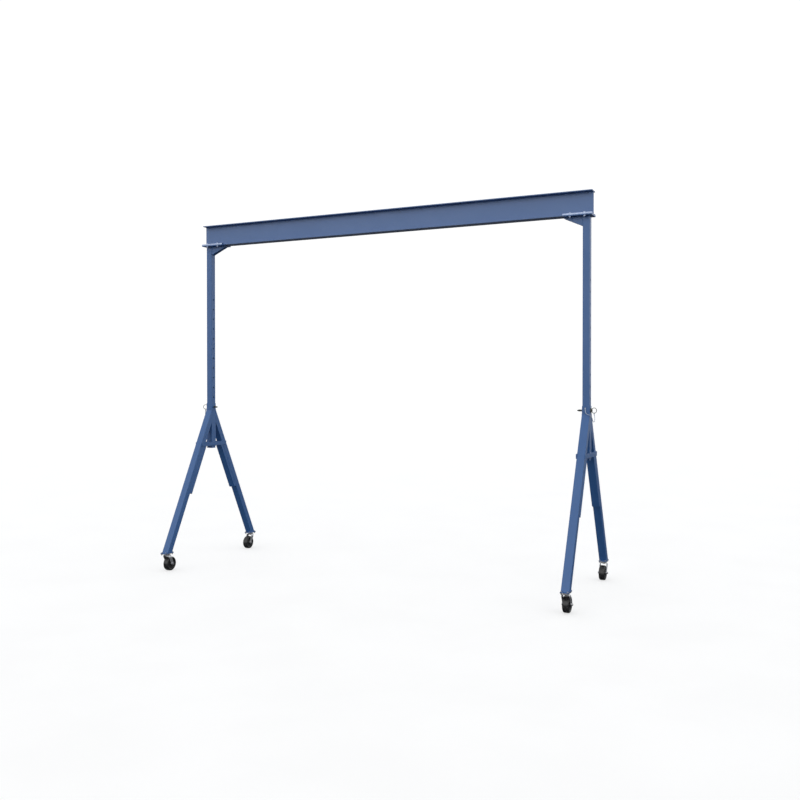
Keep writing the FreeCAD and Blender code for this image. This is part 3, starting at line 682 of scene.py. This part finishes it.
def set_at_end(patch, way):
    """A patch from an end's own frame, stood in its place at that end."""
    return moved(half_turned(patch, way), (way * UPRIGHT_X, 0, 0))


def set_at_leg(patch, way, sign):
    """A patch drawn about the front caster's swivel axis, stood in its place under a leg."""
    return moved(half_turned(patch, sign), (way * UPRIGHT_X, sign * SWIVEL_Y, 0))


def four_bolts(middle, half_x, half_y, top, bottom, shank):
    """Bolts at the corners of a rectangle about a point on the X axis."""
    return joined([
        through_bolt(middle + along * half_x, across * half_y, top, bottom, shank)
        for along in (-1, 1) for across in (-1, 1)
    ])


for end, way in ENDS:
    bolts = four_bolts(CAP_MIDDLE, CLAMP_BOLT_X, CLAMP_BOLT_Y, CLAMP_TOP, CAP_BOTTOM, CLAMP_BOLT)
    make_piece(f"{end}_clamp_bolts", set_at_end(bolts, way), "beam_unit", bright_painted_reflection, BOLT_SHARP)
    for side, sign in SIDES:
        bolts = four_bolts(0, PLATE_BOLT_X, PLATE_BOLT_Y, FOOT_TOP, CASTER_PLATE_BOTTOM, PLATE_BOLT)
        make_piece(f"{end}_{side}_plate_bolts", set_at_leg(bolts, way, sign), f"{end}_frame",
                   zinc, BOLT_SHARP)

# ------------------------------------------------------------------ clamps

CLAMP_LAP = 0.015
CLAMP_EASE = 0.0012
HEEL_EASE = 0.0006
DRAWN_IN = 0.8
PACKER_THICKNESS = 0.004
PACKER_TOP = CAP_TOP + PACKER_THICKNESS
CLAMP_HEEL = FLANGE_HALF + CLAMP_GAP


def flat_bar(y_low, z_low, z_high, ease):
    """Flat bar as long as the cap plate and out to its edge: a rounded rectangle carried from one
    sawn end to the other, with the first and last section drawn in by most of the ease."""
    y_high = CAP_HALF
    x = np.array([CAP_INBOARD, CAP_INBOARD + ease, CAP_OUTBOARD - ease, CAP_OUTBOARD])
    draw_in = np.array([ease, 0, 0, ease]) * DRAWN_IN
    half_width = np.full(4, (y_high - y_low) / 2) - draw_in
    half_depth = np.full(4, (z_high - z_low) / 2) - draw_in
    across, through = plate_section(half_width, half_depth, ease)
    return surface(np.stack([
        np.broadcast_to(x[:, None], across.shape),
        (y_low + y_high) / 2 + across,
        (z_low + z_high) / 2 + through,
    ], axis=-1))


def both_sides(make):
    """A piece and its like on the other side of the beam, turned by half a turn about the middle of
    the cap plate."""
    one = make()
    return joined([one, moved(half_turned(moved(one, (-CAP_MIDDLE, 0, 0)), -1), (CAP_MIDDLE, 0, 0))])


def clamp_plate():
    """Stepped bar: a lap over the edge of the bottom flange and a heel beside it."""
    heel = flat_bar(CLAMP_HEEL, PACKER_TOP, FLANGE_TOP, HEEL_EASE)
    lap = flat_bar(FLANGE_HALF - CLAMP_LAP, FLANGE_TOP, CLAMP_TOP, CLAMP_EASE)
    return joined([heel, lap])


def packer():
    """Shim that fills in under the clamp's heel."""
    return flat_bar(CLAMP_HEEL, CAP_TOP, PACKER_TOP, HEEL_EASE)


for end, way in ENDS:
    plates = make_piece(f"{end}_clamp_plates", set_at_end(both_sides(clamp_plate), way), "beam_unit",
                        bright_painted_reflection)
    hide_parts(f"{end}_beam_clamps")
    make_piece(f"{end}_clamp_packers", set_at_end(both_sides(packer), way), "beam_unit",
               enamel)

# ------------------------------------------------------------------ weld beads

RIPPLE = 0.0048
RIPPLE_DEPTH = 0.16
RIPPLE_BOW = 0.22
BEAD_STEPS = 4
BEAD_SIDES = 10
BEAD_TIP = 0.03
BEAD_SHARP = 80


def bead(path, radius):
    """Weld bead: a tube on the line where two faces meet, most of it sunk in them.  Its radius is
    r (1 - d (1 + cos(2 pi (s / ripple + bow cos a))) / 2), rounded off over the first and last r."""
    path, reach = evenly(path, RIPPLE / BEAD_STEPS)
    angle = around(BEAD_SIDES)
    wave = np.cos(2 * np.pi * (reach[:, None] / RIPPLE + RIPPLE_BOW * np.cos(angle)))
    nearest = np.clip(np.minimum(reach, reach[-1] - reach) / radius, 0, 1)
    ending = np.sqrt(1 - (1 - nearest) ** 2) * (1 - BEAD_TIP) + BEAD_TIP
    return tube(path, radius * ending[:, None] * (1 - RIPPLE_DEPTH * (1 + wave) / 2), angle)


def square_path(half_x, half_y, corner, height):
    """Once round an upright tube's outline with rounded corners, meeting where it began."""
    x, y = half_x, half_y
    plan = ((0, -y), (x, -y), (x, y), (-x, y), (-x, -y), (0, -y))
    return eased([(*point, height) for point in plan], corner)


def leg_line(depth, height):
    """Distance out from the sleeve's axis of a face that lies a depth inside a leg's outer one."""
    return SLEEVE_HALF + LEG_SLOPE * (LEG_HEAD - height) - depth * LEG_SKEW


def leg_meeting(depth):
    """Height at which that face meets the sleeve."""
    return LEG_HEAD - depth * LEG_SKEW / LEG_SLOPE


FILLET = 0.0048
GROOVE_SINK = 0.0030
PLATE_FILLET = 0.0032
STITCH = 0.070
STITCH_PITCH = 0.230
FIRST_STITCH = 0.02
LUG_FILLET = 0.0022
LUG_X = -0.006
LUG_HALF = 0.006
LUG_TOP = SLEEVE_TOP - 0.009
LUG_BOTTOM = SLEEVE_TOP - 0.023


def leg_welds():
    """Beads of the front leg: across the sleeve above and below it, down both sides, in stitches
    along the stiffener, across the stiffener's foot and round the leg's own foot."""
    inset = SLEEVE_HALF - GROOVE_SINK
    lowest = leg_meeting(LEG_DEPTH)
    beads = [
        bead([(-inset, -SLEEVE_HALF, height), (inset, -SLEEVE_HALF, height)], FILLET)
        for height in (LEG_HEAD, lowest)
    ]
    stitches = np.arange(STIFFENER_FOOT + FIRST_STITCH, BAR_BOTTOM - STITCH, STITCH_PITCH)
    for x in (-inset, inset):
        beads.append(bead([(x, -SLEEVE_HALF, lowest), (x, -SLEEVE_HALF, LEG_HEAD)], FILLET))
        beads += [
            bead([(x, -leg_line(LEG_DEPTH, height), height) for height in (start, start + STITCH)], FILLET)
            for start in stitches
        ]
    foot = -leg_line(LEG_DEPTH, STIFFENER_FOOT)
    beads.append(bead([(-inset, foot, STIFFENER_FOOT), (inset, foot, STIFFENER_FOOT)], FILLET))
    round_foot = square_path(SLEEVE_HALF, LEG_DEPTH * LEG_SKEW / 2, TUBE_CORNER, FOOT_TOP)
    beads.append(bead(round_foot + (0, SWIVEL_Y, 0), PLATE_FILLET))
    return joined(beads)


def bar_welds(bar_half):
    """Beads above and below both cross bars, over the sleeve and over each leg."""
    beads = []
    for face in (-SLEEVE_HALF, SLEEVE_HALF):
        for height, depth in ((BAR_BOTTOM, STIFFENER_INNER), (BAR_TOP, LEG_DEPTH)):
            outer = min(leg_line(0, height), bar_half) - TUBE_CORNER
            inner = leg_line(depth, height) + TUBE_CORNER
            over_sleeve = SLEEVE_HALF - TUBE_CORNER
            for start, stop in ((-outer, -inner), (-over_sleeve, over_sleeve), (inner, outer)):
                beads.append(bead([(face, start, height), (face, stop, height)], FILLET))
    return joined(beads)


def lug_welds():
    """Beads down both sides of the lanyard's lug and under it."""
    left, right = LUG_X - LUG_HALF, LUG_X + LUG_HALF
    line = [(left, LUG_TOP), (left, LUG_BOTTOM), (right, LUG_BOTTOM), (right, LUG_TOP)]
    return bead([(x, -SLEEVE_HALF, height) for x, height in line], LUG_FILLET)


def head_welds():
    """Beads round the head of an upright, down both sides of the knee bracket, under its foot and
    across its tip."""
    low = CAP_BOTTOM - KNEE_DROP
    beads = [bead(square_path(UPRIGHT_HALF, UPRIGHT_HALF, UPRIGHT_CORNER, CAP_BOTTOM), FILLET)]
    for y in (-STRAP_HALF, STRAP_HALF):
        beads += [
            bead([(-UPRIGHT_HALF, y, low), (-UPRIGHT_HALF, y, CAP_BOTTOM)], FILLET),
            bead([(-UPRIGHT_HALF, y, CAP_BOTTOM), (-KNEE_FAR, y, CAP_BOTTOM)], FILLET),
        ]
    for x, height in ((-UPRIGHT_HALF, low), (FILLET - KNEE_FAR, CAP_BOTTOM)):
        beads.append(bead([(x, -STRAP_HALF, height), (x, STRAP_HALF, height)], FILLET))
    return joined(beads)


for end, way in ENDS:
    front_leg = leg_welds()
    bar_half = size_of(f"{end}_cross_bars").y / 2
    of_frame = joined([front_leg, half_turned(front_leg, -1), bar_welds(bar_half), lug_welds()])
    make_piece(f"{end}_frame_welds", set_at_end(of_frame, way), f"{end}_frame",
               enamel, BEAD_SHARP)
    make_piece(f"{end}_head_welds", set_at_end(head_welds(), way), "beam_unit",
               enamel, BEAD_SHARP)

# ------------------------------------------------------------------ casters

FORK_WALL = 0.006
CROWN_THICKNESS = 0.008
STRAP_HEAD_HALF = 0.036
STRAP_FOOT_HALF = 0.025
STRAP_EASE = 0.0018
SHOULDER_DROP = 0.036
SHOULDER_PULL = 0.022
STRAP_STEPS = 10
SHOULDER_STEPS = 14
STRAP_TIP = STRAP_EASE * 1.1
RACE_SIDES = 72
FORK_LINE = size_of("right_front_fork").x / 2 - FORK_WALL / 2
FORK_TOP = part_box("right_front_fork")[1].z
LOWER_RACE = 0.008
CROWN_TOP = FORK_TOP - LOWER_RACE
CROWN_LINE = CROWN_TOP - CROWN_THICKNESS / 2
CROWN_BOTTOM = CROWN_TOP - CROWN_THICKNESS
RACE_PROFILE = (
    (0.030, -0.0095), (0.0345, -0.0082), (0.0360, -0.0066), (0.0360, -0.0052), (0.0342, -0.0046),
    (0.0342, -0.0034), (0.0360, -0.0028), (0.0360, -0.0012), (0.0345, 0.0), (0.020, 0.0),
)


def yoke():
    """Fork bent from one strap.  Its middle line rises at -X from below the axle, turns in along a
    quarter of an ellipse, crosses the crown and comes down at +X.  The strap's width and its lead
    follow the height in straight lines from the axle to the crown, and below the axle its edge is
    the half circle about it."""
    below = np.linspace(-np.pi / 2, 0, STRAP_STEPS)[:-1]
    shoulder = CROWN_LINE - SHOULDER_DROP
    straight = np.linspace(AXLE_Z, shoulder, STRAP_STEPS)[:-1]
    turn = np.linspace(0, np.pi / 2, SHOULDER_STEPS)
    out = np.concatenate([
        np.full(len(below) + len(straight), FORK_LINE),
        FORK_LINE - SHOULDER_PULL + SHOULDER_PULL * np.cos(turn),
    ])
    height = np.concatenate([
        AXLE_Z + STRAP_FOOT_HALF * np.sin(below),
        straight,
        shoulder + SHOULDER_DROP * np.sin(turn),
    ])
    risen = np.clip((height - AXLE_Z) / (CROWN_BOTTOM - AXLE_Z), 0, 1)
    half_width = STRAP_FOOT_HALF + (STRAP_HEAD_HALF - STRAP_FOOT_HALF) * risen
    sunk = np.clip((AXLE_Z - height) / STRAP_FOOT_HALF, 0, 1)
    half_width = np.maximum(half_width * np.sqrt(1 - sunk ** 2), STRAP_TIP)
    half_depth = (FORK_WALL + (CROWN_THICKNESS - FORK_WALL) * risen ** 2) / 2
    lead = CASTER_LEAD * (1 - risen)
    x = np.concatenate([-out, out[::-1]])
    z = np.concatenate([height, height[::-1]])
    forward = unit(np.stack([np.gradient(x), np.gradient(z)], axis=-1))
    wide, deep, ahead = (np.concatenate([values, values[::-1]]) for values in (half_width, half_depth, lead))
    across, through = plate_section(wide, deep, STRAP_EASE)
    return surface(np.stack([
        x[:, None] - forward[:, 1:] * through,
        ahead[:, None] + across,
        z[:, None] + forward[:, :1] * through,
    ], axis=-1))


def lower_race():
    """Ball race on the crown, turned, with its groove."""
    return moved(surface(turned(RACE_PROFILE, RACE_SIDES)), (0, 0, FORK_TOP))


WHEEL_RADIUS = size_of("right_front_wheel").z / 2
WHEEL_HALF = 0.040
HUB_FACE = size_of("right_front_wheel").x / 2
HUB_RADIUS = 0.026
DISH = 0.031
DISH_SPLAY = 0.0045
RIM_INNER = WHEEL_RADIUS - 0.020
BORE = 0.0101
TREAD_FALL = 0.0006
TREAD_SHOULDER = 0.0095
WHEEL_SIDE = (
    (BORE, HUB_FACE),
    (HUB_RADIUS, HUB_FACE),
    (HUB_RADIUS + DISH_SPLAY, DISH),
    (RIM_INNER - DISH_SPLAY, DISH),
    (RIM_INNER, WHEEL_HALF),
    (WHEEL_RADIUS - TREAD_SHOULDER, WHEEL_HALF),
    (WHEEL_RADIUS - TREAD_FALL, WHEEL_HALF - TREAD_SHOULDER),
)
WHEEL_EASE = (0.0020, 0.0035, 0.0035, 0.0024, 0.0050, 0.0050)
MOULD_LINE = 0.0004
MOULD_LINE_HALF = 0.0011
MOULD_LINE_EASE = (0.0004, 0.0003, 0.0004)
WHEEL_SIDES = 96
RING_SIDES = 64
TREAD_MARKED = 0.010
TREAD_FADE = 0.008
BEARING_RADIUS = 0.0175
BEARING_SHOWN = 0.0010
BEARING_EASE = 0.0003
BEARING_LEFT = -HUB_FACE - 0.0004
BEARING_RIGHT = HUB_FACE - 0.0006


def wheel_outline():
    """Half section of a wheel from one end of its bore round the tread to the other."""
    side = np.array(WHEEL_SIDE)
    line = np.array([
        (WHEEL_RADIUS - MOULD_LINE, -MOULD_LINE_HALF),
        (WHEEL_RADIUS, 0),
        (WHEEL_RADIUS - MOULD_LINE, MOULD_LINE_HALF),
    ])
    corners = np.vstack([side * (1, -1), line, side[::-1]])
    reach = np.concatenate([WHEEL_EASE, MOULD_LINE_EASE, WHEEL_EASE[::-1]])
    return eased(corners, reach, steps=5)


def bearing_face(low):
    """Flat ring about Z with its outer edges eased, the end of a bearing in the wheel's bore."""
    high = low + BEARING_SHOWN
    outline = ((BORE, low), (BEARING_RADIUS, low), (BEARING_RADIUS, high), (BORE, high))
    return surface(turned(eased(outline, BEARING_EASE, steps=3), RING_SIDES), along_closed=True)


def mark_tread(piece, centre):
    """Keep on each corner of a wheel how near it lies to the tread, for its finish."""
    mesh = piece.data
    corners = np.empty(len(mesh.vertices) * 3)
    mesh.vertices.foreach_get("co", corners)
    away = np.linalg.norm(corners.reshape(-1, 3)[:, 1:] - centre, axis=1)
    tread = np.clip((away - (WHEEL_RADIUS - TREAD_MARKED)) / TREAD_FADE, 0, 1)
    mesh.attributes.new("tread", "FLOAT", "POINT").data.foreach_set("value", tread)


for end, way in ENDS:
    for side, sign in SIDES:
        bent = set_at_leg(joined([yoke(), lower_race()]), way, sign)
        fork = make_piece(f"{end}_{side}_yoke", bent, f"{end}_{side}_caster", zinc)
        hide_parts(f"{end}_{side}_fork")
        at_axle = (0, CASTER_LEAD, AXLE_Z)
        moulding = surface(turned(wheel_outline(), WHEEL_SIDES), along_closed=True)
        moulding = moved(tipped(moulding, (1, 0, 0)), at_axle)
        wheel = make_piece(f"{end}_{side}_moulded_wheel", set_at_leg(moulding, way, sign),
                           f"{end}_{side}_roller", black)
        mark_tread(wheel, (sign * AXLE_Y, AXLE_Z))
        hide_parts(f"{end}_{side}_wheel")
        bearing = joined([bearing_face(BEARING_LEFT), bearing_face(BEARING_RIGHT)])
        bearing = moved(tipped(bearing, (1, 0, 0)), at_axle)
        make_piece(f"{end}_{side}_bearing", set_at_leg(bearing, way, sign), f"{end}_{side}_roller",
                   zinc)

# ------------------------------------------------------------------ camera, floor and light

camera_data = bpy.data.cameras.new("camera")
camera_data.sensor_width = 36
camera_data.lens = 39.46
camera_data.shift_x = -0.0084
camera_data.shift_y = -0.0015
camera = bpy.data.objects.new("camera", camera_data)
camera.location = (5.560, -11.233, 2.641)
camera.rotation_euler = (math.radians(90 - 0.553), 0, math.radians(24.62))
bpy.context.scene.collection.objects.link(camera)
bpy.context.scene.camera = camera
bpy.context.scene.view_settings.view_transform = "Standard"

FLOOR_SIDES = 96
FLOOR_HOLE = 0.02
FLOOR_RADIUS = 120.0
FLOOR_PALE = (0.42, 0.42, 0.42)
FLOOR_GREY = (0.40, 0.40, 0.40)
FLOOR_TO_OBJECT = (0.045, 0.050, 0.060)
FLOOR_GLOW = 0.56
SKY_COLOUR = (0.97, 0.985, 1.0)
HORIZON_LIGHT = 1.22
ZENITH_LIGHT = 0.78
BACKDROP_LIGHT = 1.05


def make_floor():
    """A wide pale disc, which lights the undersides only softly."""
    disc = turned(((FLOOR_HOLE, 0), (FLOOR_RADIUS, 0)), FLOOR_SIDES)
    corners, faces = surface(disc, ends_closed=False)
    mesh = bpy.data.meshes.new("floor")
    mesh.from_pydata(corners.tolist(), [], faces[0].tolist() + [list(range(FLOOR_SIDES))])
    floor = bpy.data.objects.new("floor", mesh)
    bpy.context.scene.collection.objects.link(floor)
    f = Finish("pale_floor")
    seen = f.add("ShaderNodeLightPath").outputs["Is Camera Ray"]
    tone = f.span(f.noise(scale=0.8, detail=4.0), low=0.3, high=0.7)
    shown = f.blend(tone, FLOOR_GREY, FLOOR_PALE)
    glow = f.maths("MULTIPLY", seen, FLOOR_GLOW)
    f.set(Base_Color=f.blend(seen, FLOOR_TO_OBJECT, shown), Roughness=0.9,
          Emission_Color=(1, 1, 1, 1), Emission_Strength=glow)
    mesh.materials.append(f.material)


def make_world():
    """White all round to look at, and to light with a sky that is brightest at the horizon."""
    world = bpy.data.worlds.new("studio")
    world.use_nodes = True
    bpy.context.scene.world = world
    tree = world.node_tree
    tree.nodes.clear()
    path = tree.nodes.new("ShaderNodeLightPath")
    glow = tree.nodes.new("ShaderNodeBackground")
    glow.inputs["Color"].default_value = (*SKY_COLOUR, 1)
    direction = tree.nodes.new("ShaderNodeTexCoord")
    parts = tree.nodes.new("ShaderNodeSeparateXYZ")
    fall = tree.nodes.new("ShaderNodeMapRange")
    fall.inputs["To Min"].default_value = HORIZON_LIGHT
    fall.inputs["To Max"].default_value = ZENITH_LIGHT
    tree.links.new(direction.outputs["Generated"], parts.inputs[0])
    tree.links.new(parts.outputs["Z"], fall.inputs["Value"])
    tree.links.new(fall.outputs["Result"], glow.inputs["Strength"])
    white = tree.nodes.new("ShaderNodeBackground")
    white.inputs["Strength"].default_value = BACKDROP_LIGHT
    white.inputs["Color"].default_value = (1, 1, 1, 1)
    mix = tree.nodes.new("ShaderNodeMixShader")
    output = tree.nodes.new("ShaderNodeOutputWorld")
    tree.links.new(path.outputs["Is Camera Ray"], mix.inputs[0])
    tree.links.new(glow.outputs[0], mix.inputs[1])
    tree.links.new(white.outputs[0], mix.inputs[2])
    tree.links.new(mix.outputs[0], output.inputs["Surface"])


def make_sun(name, source, strength, spread):
    """Even light from one side, as soft as a wide screen of that many degrees."""
    data = bpy.data.lights.new(name, "SUN")
    data.energy = strength
    data.angle = math.radians(spread)
    light = bpy.data.objects.new(name, data)
    light.rotation_euler = Vector(source).to_track_quat("Z", "Y").to_euler()
    bpy.context.scene.collection.objects.link(light)


make_floor()
make_world()
make_sun("key", source=(-0.25, -0.90, 0.34), strength=0.45, spread=50)
make_sun("side", source=(0.92, -0.25, 0.30), strength=0.20, spread=50)
